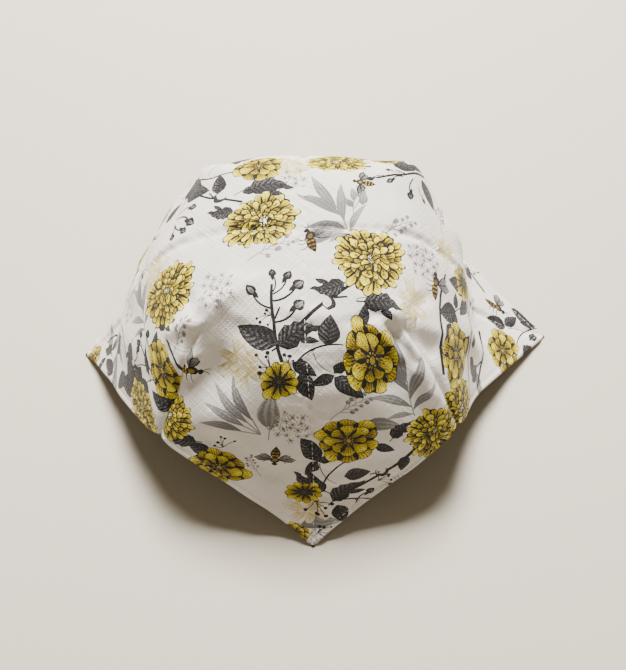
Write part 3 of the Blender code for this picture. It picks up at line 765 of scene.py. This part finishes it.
def numbered(flat, outline, start):  # body numbers: the hem's points, shared by both faces, then this face's own
    seamShares, hemPoints = outline
    owner, across, dart, share, onHem = onEdges(flat)
    numbers = np.full(len(flat), -1)
    shared = 0
    for index, name in enumerate(panelOrder):
        listed = inPanels(hemPoints[name])[1]
        mine = onHem & (owner == index)
        numbers[mine] = shared + np.abs(across[mine][:, None] - listed).argmin(axis=1)
        shared += len(listed)
    for index in range(len(darts)):
        numbers[(dart == index) & (share > 0.9999)] = shared
        shared += 1
    start = max(start, shared)
    for index, name in enumerate(darts):
        mine = (dart == index) & (numbers < 0)
        listed = seamShares[name][:-1]
        numbers[mine] = start + np.abs(share[mine][:, None] - listed).argmin(axis=1)
        start += len(listed)
    rest = numbers < 0
    numbers[rest] = start + np.arange(rest.sum())
    return numbers, start + int(rest.sum())


def rolled(hem):  # how far round the rolled edge a point is: 1 at the very edge and 0 past the roll
    toEdge = np.clip(1 - hem / sewing["rollWidth"], 0, 1)
    return 1 - np.sqrt(1 - toEdge**2)


def coverOuter(loft, hem):
    return pattern["coverLoft"] * loft * rolled(hem)


def coverInner(loft, hem):
    return pattern["coverLoft"] * loft


def liningHidden(loft, hem):
    return coverInner(loft, hem) + pattern["layerGap"]


def liningShown(loft, hem):
    return liningHidden(loft, hem) + pattern["liningLoft"] * loft * (1 - rolled(hem))


def pressedOut(press, inside):  # the sewing presses each face that shows away from the viewer
    return press * sewing["liningPress"] if inside else -press


def setAttribute(body, name, kind, domain, values):
    made = body.attributes.new(name, kind, domain)
    made.data.foreach_set("value" if kind == "FLOAT" else "vector", np.ascontiguousarray(values, np.float32).ravel())


# A closed body with a shown face and a plain hidden one; places says which material each polygon has, the rest has 0
def clothBody(name, polygons, shownDepth, hiddenDepth, inside, materials, places):
    flat, triangles, top, outline = clothSide(polygons, np.concatenate([*rowPoints(), gridPoints(mesh["grid"])]))
    backFlat, backTriangles, _, _ = clothSide([], gridPoints(mesh["backGrid"]), outline)
    numbers, count = numbered(flat, outline, 0)
    backNumbers, count = numbered(backFlat, outline, count)
    total, tally = np.zeros((count, 3)), np.zeros(count)
    for points, listed, depthOf in ((flat, numbers, shownDepth), (backFlat, backNumbers, hiddenDepth)):
        surface, normals, bend, press, loft, hem = clothFrame(points)
        lifted = surface + normals * (bend - depthOf(loft, hem))[:, None]
        if depthOf is shownDepth:
            lifted += normals * pressedOut(press, inside)[:, None]
        np.add.at(total, listed, lifted)
        np.add.at(tally, listed, 1)
    placed = total / np.maximum(tally, 1)[:, None]
    placed[:, 2] = np.maximum(placed[:, 2], sewing["floorGap"])
    way = -1 if inside else 1  # each face's corners go round so that it faces out of the body
    faces = np.concatenate([numbers[triangles][:, ::way], backNumbers[backTriangles][:, ::-way]])
    flatCorners = np.concatenate([flat[triangles][:, ::way], backFlat[backTriangles][:, ::-way]])
    owner = np.concatenate([top - 1, np.full(len(backTriangles), -1)])
    sound = (faces != np.roll(faces, 1, axis=1)).all(axis=1)
    used, faces = np.unique(faces[sound], return_inverse=True)
    body = bpy.data.meshes.new(name)
    body.from_pydata(placed[used].tolist(), [], faces.reshape(-1, 3).tolist())
    body.shade_smooth()
    for material in materials:
        body.materials.append(material)
    flatCorners, owner = flatCorners[sound], owner[sound]
    body.polygons.foreach_set("material_index", np.array(places + [0], np.int32)[owner])
    setAttribute(body, "clothFlat", "FLOAT_VECTOR", "CORNER", np.pad(flatCorners / mm, ((0, 0), (0, 0), (0, 1))))
    print(name, len(body.vertices), "points", len(body.polygons), "triangles")
    return body, flatCorners, owner


def withPiece(name, body, nodes):
    piece = bpy.data.objects.new(name, body)
    bpy.context.scene.collection.objects.link(piece)
    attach(piece, "root")
    if nodes:
        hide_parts(*nodes)
    return piece


def linear(shade):  # an sRGB hex colour as linear red, green, blue and alpha
    parts = [int(shade[place:place + 2], 16) / 255 for place in (1, 3, 5)]
    return tuple(part / 12.92 if part <= 0.04045 else ((part + 0.055) / 1.055) ** 2.4 for part in parts) + (1,)


def addNode(tree, kind, *feeds, output=0, **settings):  # a node with its settings and what feeds it; gives its output
    kind, _, operation = kind.partition(" ")
    node = tree.nodes.new("ShaderNode" + kind)
    if operation:
        node.operation = operation
    for key, value in settings.items():
        setattr(node, key, value)
    named = feeds[0] if feeds and isinstance(feeds[0], dict) else dict(enumerate(feeds))
    for key, value in named.items():
        if isinstance(value, bpy.types.NodeSocket):
            tree.links.new(value, node.inputs[key])
        else:
            node.inputs[key].default_value = value
    return node.outputs[output] if node.outputs else node


def newMaterial(name):  # a material with no nodes yet, and the function that adds one to it
    material = bpy.data.materials.new(name)
    material.use_nodes = True
    material.node_tree.nodes.clear()
    return material, partial(addNode, material.node_tree)


# Quilting cotton has some 30 threads to the centimetre; they are drawn 1.1 mm apart so that the weave still reads
weave = {"pitch": 1.1, "depth": 0.16, "slub": 2.6, "shadeAndSlubTint": 0.055, "crossing": 0.28, "streak": 0.07, "wander": 1.6,
         "angle": 45, "relief": 0.7}
cottonFinish = {"Roughness": 0.88, "IOR": 1.47, "Sheen Weight": 0.1, "Sheen Roughness": 0.5}


def threads(node, flat):  # plain weave on the square's grain, turned from the pattern's own axes
    grain = node("Mapping", {"Vector": flat, "Rotation": (0, 0, math.radians(weave["angle"]))})
    places = node("SeparateXYZ", grain, output=slice(None))
    ridges, slubs = [], []
    for place, stretch in ((0, (1.0, weave["streak"], 1)), (1, (weave["streak"], 1.0, 1))):
        drawn = node("Mapping", {"Vector": grain, "Scale": stretch})
        slub = node("TexNoise", {"Vector": drawn, "Scale": 1.0, "Detail": 2.0})
        turn = node("Math MULTIPLY", places[place], 2 * math.pi / weave["pitch"])
        ridges.append(node("Math SINE", node("Math MULTIPLY_ADD", slub, weave["wander"], turn)))
        slubs.append(slub)
    crossing = node("Math MULTIPLY", *ridges)
    uneven = node("Math SUBTRACT", node("Math ADD", *slubs), 1.0)
    crossing = node("Math MULTIPLY", crossing, weave["crossing"])
    return node("Math MULTIPLY_ADD", uneven, weave["slub"], crossing)


# Quilting cotton: plain-woven, bleached or dyed, and printed with pigment. The ink sinks in, so cloth and ink are
# equally dull, with a faint bloom of loose fibres at glancing angles and a tooth from the threads
def cottonMaterial(name, inkOf):
    material, node = newMaterial(name)
    flat = node("Attribute", attribute_name="clothFlat", output=1)
    surface = threads(node, flat)
    # The base colour follows the threads' height: it is darker in the hollows between crossing threads, which is
    # painted shade, and uneven along the slubs, which is the yarn's own tone
    weaveShadeAndSlubTone = node("Math MULTIPLY_ADD", surface, weave["shadeAndSlubTint"], 1.0)
    tinted = node("VectorMath SCALE", {0: inkOf(node, flat), "Scale": weaveShadeAndSlubTone})
    bump = node("Bump", {"Strength": weave["relief"], "Distance": weave["depth"] * mm, "Height": surface})
    node("OutputMaterial", {"Surface": node("BsdfPrincipled", {"Base Color": tinted, **cottonFinish, "Normal": bump})})
    return material


def plain(shade, node, flat):
    return linear(shade)[:3]


# How a drawn shape is inked: its colours from foot to tip, the ink, lines along it and how far they reach, side
# veins, the outline in mm, the dark rib's share of the width, and bands across it
Look = namedtuple("Look", "foot tip ink lines reach veins outline rib bands vein",
                  defaults=(0, 1, 0, 0, 0, 0, "#8d8b8f"))
looks = {
    "blackInk": Look("#131215", "#131215", "#131215"),
    "blackLeaf": Look("#0d0c0e", "#201f22", "#0a090b", 0, 1, 7, 0.40, 0.07),
    "greyInk": Look("#939194", "#939194", "#939194"),
    "greyLeaf": Look("#7d7c7f", "#aeacac", "#6f6e72", 3, 1.6),
    "fineInk": Look("#858085", "#858085", "#858085"),
    "budInk": Look("#1c1b1e", "#aeaaa7", "#141316", 4, 1.5, 0, 1.1),
    "paleInk": Look("#efebe6", "#efebe6", "#8a898b"),
    "wingNet": Look("#77747a", "#b4afae", "#232226", 5, 2.6, 6, 0.6, vein="#232226"),
    "beeBand": Look("#c49c00", "#7a5c00", "#0e0d0f", 0, 1, 0, 0.5, 0.16, 4.4),
    "beeFur": Look("#d2aa00", "#7f6200", "#141214", 6, 2.6, 0, 0.3),
}
inkShare = {"lines": 0.75, "rib": 0.7, "petalLines": 0.9}  # how strongly the drawn lines cover


def striped(node, phase):  # how far a place is from the middle of its stripe, in stripes
    return node("Math ABSOLUTE", node("Math SUBTRACT", node("Math FRACT", phase), 0.5))


def inked(look, node, flat):
    place = node("Attribute", attribute_name="inkPlace", output=1)
    tone = node("Attribute", attribute_name="inkTone", output=2)
    share, across, width = node("SeparateXYZ", place, output=slice(None))
    rough = node("TexNoise", {"Vector": flat, "Scale": 1.3, "Detail": 2.0})
    aside = node("Math ABSOLUTE", across)
    chance = node("Math MULTIPLY_ADD", node("Math SUBTRACT", tone, 0.5), 0.7, share)
    shade = node("MixRGB", node("MapRange", chance, 0.1, 0.85), linear(look.foot), linear(look.tip))
    ink = linear(look.ink)
    if look.lines:  # thin lines from the foot, each thinning out
        phase = node("Math MULTIPLY_ADD", across, look.lines / 2, node("Math MULTIPLY", rough, 1.1))
        wave = striped(node, phase)
        line = node("Math LESS_THAN", wave, node("Math MULTIPLY_ADD", share, -0.42 / look.reach, 0.40))
        shade = node("MixRGB", node("Math MULTIPLY", line, inkShare["lines"]), shade, ink)
    if look.veins:  # slanting side veins
        slant = node("Math MULTIPLY_ADD", aside, -1.6, node("Math MULTIPLY", share, look.veins))
        phase = node("Math MULTIPLY_ADD", rough, 1.5, slant)
        wave = striped(node, phase)
        patch = node("Math MULTIPLY", node("MapRange", rough, 0.40, 0.62, 0.2, 0.95),
                     node("MapRange", across, -0.7, 0.6, 0.22, 1.0))
        vein = node("Math MULTIPLY", node("MapRange", wave, 0.20, 0.50), patch)
        shade = node("MixRGB", vein, shade, linear(look.vein))
    if look.rib:
        rib = node("Math LESS_THAN", aside, look.rib)
        shade = node("MixRGB", node("Math MULTIPLY", rib, inkShare["rib"]), shade, ink)
    if look.bands:
        wave = node("Math FRACT", node("Math MULTIPLY", share, look.bands))
        shade = node("MixRGB", node("Math GREATER_THAN", wave, 0.44), shade, ink)
    if look.outline:
        edge = node("Math MULTIPLY", node("Math SUBTRACT", 1.0, aside), width)
        limit = node("Math MULTIPLY", rough, 2 * look.outline)
        shade = node("MixRGB", node("Math LESS_THAN", edge, limit), shade, ink)
    return shade


def flowering(look, node, flat):
    place = node("Attribute", attribute_name="inkPlace", output=1)
    tone = node("Attribute", attribute_name="inkTone", output=2)
    rough = node("TexNoise", {"Vector": flat, "Scale": 0.8, "Detail": 2.0})
    sway = node("Math SUBTRACT", rough, 0.5)
    drift = node("VectorMath SUBTRACT", node("TexNoise", {"Vector": flat, "Scale": 0.16, "Detail": 1.0}, output=1),
                 (0.5, 0.5, 0.5))
    reached = node("VectorMath LENGTH", place, output=1)
    free = node("Math MULTIPLY", node("Math SUBTRACT", 1.05, reached), look.loose)
    moved = node("VectorMath ADD", place, node("VectorMath SCALE", {0: drift, "Scale": free}))
    x, y, _ = node("SeparateXYZ", moved, output=slice(None))
    far = node("VectorMath LENGTH", moved, output=1)
    angle = node("Math DIVIDE", node("Math ARCTAN2", y, x), 2 * math.pi)
    ink, shade = linear(look.ink), None
    for ring, (count, reach) in enumerate(look.rings):
        turn = node("Math MULTIPLY_ADD", angle, count, node("Math MULTIPLY", tone, swinging["ringTurn"] * ring))
        petal = node("Math FLOOR", turn)
        across = node("Math MULTIPLY_ADD", node("Math FRACT", turn), 2.0, -1.0)
        across = node("Math MULTIPLY_ADD", sway, 0.4 if ring else 0.2, across)
        swing = node("Math MULTIPLY", tone, swinging["tone"])
        swing = node("Math SINE", node("Math MULTIPLY_ADD", petal, swinging["step"], swing))
        change = look.uneven * (swinging["innerUneven"] if ring else 1)
        length = node("Math MULTIPLY_ADD", swing, change, 1 - change)
        rounding = -look.scallop * (swinging["innerScallop"] if ring else 1)
        curve = node("Math MULTIPLY_ADD", node("Math MULTIPLY", across, across), rounding, 1.0)
        edge = node("Math MULTIPLY", node("Math MULTIPLY", curve, reach), length)
        foot = 0.75 * look.rings[ring + 1][1] if ring + 1 < len(look.rings) else look.eye
        along = node("Math DIVIDE", node("Math SUBTRACT", far, foot), reach - foot)
        deep = node("Math MULTIPLY_ADD", swing, 0.16, node("Math MULTIPLY_ADD", sway, 0.5, along))
        own = node("MixRGB", node("MapRange", deep, 0.0, 0.6), linear(look.foot), linear(look.tip))  # its colour
        aside = node("Math ABSOLUTE", across)
        shine = node("Math MULTIPLY", node("MapRange", aside, 0.6, 0.1), node("MapRange", deep, 0.45, 0.9))
        picked = node("MapRange", node("Math MULTIPLY_ADD", sway, 2.4, swing), -1.0, 0.5)
        own = node("MixRGB", node("Math MULTIPLY", shine, picked), own, linear(look.shine))
        phase = node("Math MULTIPLY_ADD", across, look.lines / 2, rough)
        wave = striped(node, phase)
        fade = node("Math MULTIPLY_ADD", along, -0.30 / look.reach, 0.26)
        line = node("Math MULTIPLY", node("Math LESS_THAN", wave, fade), inkShare["petalLines"])
        own = node("MixRGB", line, own, ink)
        wide = node("Math MULTIPLY_ADD", sway, 0.16, node("MapRange", along, 0.0, 0.6, 0.46 * look.gap, look.gap))
        gap = node("Math GREATER_THAN", aside, wide)
        rim = node("Math LESS_THAN", node("Math SUBTRACT", edge, far), look.rim)
        own = node("MixRGB", node("Math MAXIMUM", gap, rim), own, ink)
        inside = node("Math LESS_THAN", far, edge)
        shade = node("MixRGB", inside, shade, own) if ring else own
    if look.eye:
        ragged = node("Math MULTIPLY_ADD", rough, 0.14, look.eye - 0.07)
        shade = node("MixRGB", node("Math LESS_THAN", far, ragged), shade, ink)
        bead = node("Math LESS_THAN", striped(node, node("Math MULTIPLY", angle, 9.0)), 0.2)
        ringed = node("Math ABSOLUTE", node("Math SUBTRACT", far, 0.72 * look.eye))
        ringed = node("Math LESS_THAN", ringed, 0.15 * look.eye)
        shade = node("MixRGB", node("Math MULTIPLY", bead, ringed), shade, linear(look.heart))
    heart = node("Math LESS_THAN", far, 0.4 * look.eye or 0.08)
    return node("MixRGB", heart, shade, linear(look.heart))


# The print goes on round the parts that the viewer doesn't see: the front panel's motifs, turned, where there is room
unseen = ((180, lambda x, y: y > 62), (90, lambda x, y: x > 100 and y > 20), (-90, lambda x, y: x < -100 and y > 12))
# The motifs that go on are those of the front panel, within these mm; the seeds set the uneven details
printed = {"seed": 100, "goingOnSeed": 700, "frontStart": -45, "frontWidth": 75, "cotton": "#f4f0ec"}


def goingOn(rows):
    for degrees, roomy in unseen:
        angle = math.radians(degrees)
        for row in rows:
            x = row.x * math.cos(angle) - row.y * math.sin(angle)
            y = row.x * math.sin(angle) + row.y * math.cos(angle)
            if row.y < printed["frontStart"] and abs(row.x) < printed["frontWidth"] and roomy(x, y):
                yield row._replace(x=x, y=y, turn=row.turn + degrees)


inkNames = list(looks) + list(flowers)
coverMaterials = [cottonMaterial("whiteCotton", partial(plain, printed["cotton"]))]
coverMaterials += [cottonMaterial(name, partial(inked, look)) for name, look in looks.items()]
coverMaterials += [cottonMaterial(name, partial(flowering, flower)) for name, flower in flowers.items()]
print("cotton and inks made")

# The cover: printed cotton on its batting
blades = drawnBlades(goingOn(prints), printed["goingOnSeed"]) + drawnBlades(prints, printed["seed"])
polygons = [bladeOutline(blade) for blade in blades]
places = [1 + inkNames.index(blade.look) for blade in blades]
coverBody, coverFlat, coverOwner = clothBody("coverCloth", polygons, coverOuter, coverInner, False, coverMaterials,
                                             places)
setAttribute(coverBody, "inkPlace", "FLOAT_VECTOR", "CORNER", inkPlaces(blades, coverOwner, coverFlat))
tones = np.array([blade.tone for blade in blades] + [0.5])
setAttribute(coverBody, "inkTone", "FLOAT", "FACE", tones[coverOwner])
cover = withPiece("coverCloth", coverBody, ["cover"])
print("cover made")


# The lining: black cotton with small white dots
dotted = {"step": 13.0, "size": 0.75, "sides": 8, "stray": 3.2, "rowShare": 0.9, "fullShare": 0.6, "smaller": 0.68,
          "seed": 8, "cotton": "#1f1e20", "dot": "#dcd8d2"}


def dotPolygons():
    draw = random.Random(dotted["seed"])
    angles = np.arange(dotted["sides"]) * 2 * math.pi / dotted["sides"]
    stray, reach = dotted["stray"], int(tipAlong / mm / dotted["step"]) + 1
    for row in range(-reach, reach + 1):
        for column in range(-reach, reach + 1):
            x = (column + 0.5 * (row % 2)) * dotted["step"] + draw.uniform(-stray, stray)
            y = row * dotted["step"] * dotted["rowShare"] + draw.uniform(-stray, stray)
            size = dotted["size"] * (1 if draw.random() < dotted["fullShare"] else dotted["smaller"])
            if abs(x) + abs(y) < tipAlong / mm:
                yield np.stack([x + size * np.cos(angles), y + size * np.sin(angles)], axis=1) * mm


dots = list(dotPolygons())
liningMaterials = [cottonMaterial("blackCotton", partial(plain, dotted["cotton"])),
                   cottonMaterial("whiteDots", partial(plain, dotted["dot"]))]
liningBody, _, _ = clothBody("liningCloth", dots, liningShown, liningHidden, True, liningMaterials, [1] * len(dots))
lining = withPiece("liningCloth", liningBody, ["lining"])
print("lining made")


# The sewing thread
stitching = {"length": 0.0026, "gap": 0.0005, "radius": 0.00017, "sink": 0.00004, "sides": 6, "seamClearance": 0.0004,
             "quiltStart": 0.0015, "quiltEnd": 0.0052}
# Place, size and rise of a stitch's rings
ringShares = ((-1, 0.3, -1.2), (-0.7, 0.85, -0.1), (0, 1, 0.35), (0.7, 0.85, -0.1), (1, 0.3, -1.2))


def stitchPlaces(lines):  # flat middles and directions of the stitches on each line, in one panel's own places
    middles, directions = [], []
    for name, start, end in lines:
        start, end = np.array(start), np.array(end)
        long = np.linalg.norm(end - start)
        count = int(long / (stitching["length"] + stitching["gap"]))
        share = (np.arange(count) + 0.5) / count
        places = start + (end - start) * share[:, None]
        middles.append(turned(name, places[:, 0], places[:, 1]))
        direction = (end - start) / long
        directions.append(np.repeat(turned(name, direction[:1], direction[1:]), count, axis=0))
    return np.concatenate(middles), np.concatenate(directions)


def hemLines():
    corner, last = hemEnds(sewing["topstitchInset"])
    last -= stitching["seamClearance"]
    return [(name, (0, corner), (side * (corner - last), last)) for name in panelOrder for side in (1, -1)]


def quiltLines():
    return [(name, (0, stitching["quiltStart"]), (0, tipAlong - stitching["quiltEnd"])) for name in panelOrder]


def threadPiece(name, inside, material):
    middles, directions = stitchPlaces(hemLines() + quiltLines())
    rings = []
    for place, size, rise in ringShares:
        flat = middles + directions * place * stitching["length"] / 2
        surface, normals, bend, press, loft, hem = clothFrame(flat)
        height = bend + pressedOut(press, inside) - (liningShown(loft, hem) if inside else 0)
        outwards = -normals if inside else normals
        centre = surface + normals * height[:, None] + outwards * (rise * stitching["radius"] - stitching["sink"])
        rings.append((centre, outwards, size * stitching["radius"]))
    along = rings[-1][0] - rings[0][0]
    along /= np.linalg.norm(along, axis=1)[:, None]
    sides, points = stitching["sides"], []
    for centre, outwards, radius in rings:
        over = np.cross(along, outwards)
        over /= np.linalg.norm(over, axis=1)[:, None]
        for step in range(sides):
            angle = 2 * math.pi * step / sides
            points.append(centre + (over * math.cos(angle) + outwards * math.sin(angle)) * radius)
    stacked = np.stack(points, axis=1).reshape(-1, 3)
    each = len(rings) * sides
    quads = [(ring + step, ring + (step + 1) % sides, ring + sides + (step + 1) % sides, ring + sides + step)
             for ring in range(0, each - sides, sides) for step in range(sides)]
    caps = [tuple(range(sides))[::-1], tuple(range(each - sides, each))]
    firsts = range(0, each * len(middles), each)
    faces = [tuple(first + corner for corner in face) for first in firsts for face in quads + caps]
    body = bpy.data.meshes.new(name)
    stacked[:, 2] = np.maximum(stacked[:, 2], sewing["floorGap"])
    body.from_pydata(stacked.tolist(), [], faces)
    body.shade_smooth()
    body.materials.append(material)
    return withPiece(name, body, [])


# Spun polyester thread: many fine fibres twisted, so it is a little glossier than the cloth and softly broken up
threadFinish = {"Roughness": 0.6, "IOR": 1.5, "Sheen Weight": 0.15}


def threadMaterial(name, shade, twistHollowShade):
    material, node = newMaterial(name)
    twist = node("TexNoise", {"Vector": node("TexCoord", output=3), "Scale": 2600.0, "Detail": 1.0})
    bump = node("Bump", {"Strength": 0.4, "Distance": 0.05 * mm, "Height": twist})
    # Painted shade: the thread's colour goes to the darker one where the twist's bump is low
    mixed = node("MixRGB", twist, linear(twistHollowShade), linear(shade))
    node("OutputMaterial", {"Surface": node("BsdfPrincipled", {"Base Color": mixed, **threadFinish, "Normal": bump})})
    return material


coverThread = threadPiece("coverThread", False, threadMaterial("whiteThread", "#f6f3ee", "#dcd7cf"))
liningThread = threadPiece("liningThread", True, threadMaterial("blackThread", "#2c2b2e", "#1b1a1c"))
print("thread made")

# Floor, light and camera
stage = {
    "floor": ("#d6cec1", "#dcd5ca"), "floorReach": 2, "floorRoughness": 0.8, "mottle": 6.0,
    "room": "#f1deba", "roomLight": 0.21, "lightsAim": (0, 0, 0.05),
    "camera": (-0.0039, -0.1518, 0.3184), "tilt": 24.5, "turn": -0.8, "lens": 35.02, "sensor": 36,
}
floorMesh = bpy.data.meshes.new("floor")
corners = [(x * stage["floorReach"], y * stage["floorReach"], 0) for x, y in ((-1, -1), (1, -1), (1, 1), (-1, 1))]
floorMesh.from_pydata(corners, [], [(0, 1, 2, 3)])
floorMaterial, node = newMaterial("floorPaper")
mottle = node("MixRGB", node("TexNoise", {"Scale": stage["mottle"]}), *(linear(shade) for shade in stage["floor"]))
paper = node("BsdfPrincipled", {"Base Color": mottle, "Roughness": stage["floorRoughness"]})
node("OutputMaterial", {"Surface": paper})
floorMesh.materials.append(floorMaterial)
floor = bpy.data.objects.new("floor", floorMesh)
bpy.context.scene.collection.objects.link(floor)


def areaLight(name, place, size, power, shade):
    data = bpy.data.lights.new(name, "AREA")
    data.shape, data.size, data.energy, data.color = "SQUARE", size, power, linear(shade)[:3]
    light = bpy.data.objects.new(name, data)
    light.location = place
    light.rotation_euler = (Vector(stage["lightsAim"]) - Vector(place)).to_track_quat("-Z", "Y").to_euler()
    bpy.context.scene.collection.objects.link(light)


areaLight("skyLight", (-0.02, 0.8, 1.15), 0.42, 72, "#fffaf0")
areaLight("fillLight", (0.3, -1.3, 0.9), 1.4, 0.5, "#ffeccf")
world = bpy.data.worlds.new("room")
world.use_nodes = True
world.node_tree.nodes["Background"].inputs[0].default_value = linear(stage["room"])
world.node_tree.nodes["Background"].inputs[1].default_value = stage["roomLight"]
bpy.context.scene.world = world

cameraData = bpy.data.cameras.new("camera")
cameraData.sensor_fit, cameraData.sensor_width, cameraData.lens = "HORIZONTAL", stage["sensor"], stage["lens"]
camera = bpy.data.objects.new("camera", cameraData)
camera.location = stage["camera"]
camera.rotation_euler = (math.radians(stage["tilt"]), 0, math.radians(stage["turn"]))
bpy.context.scene.collection.objects.link(camera)
bpy.context.scene.camera = camera
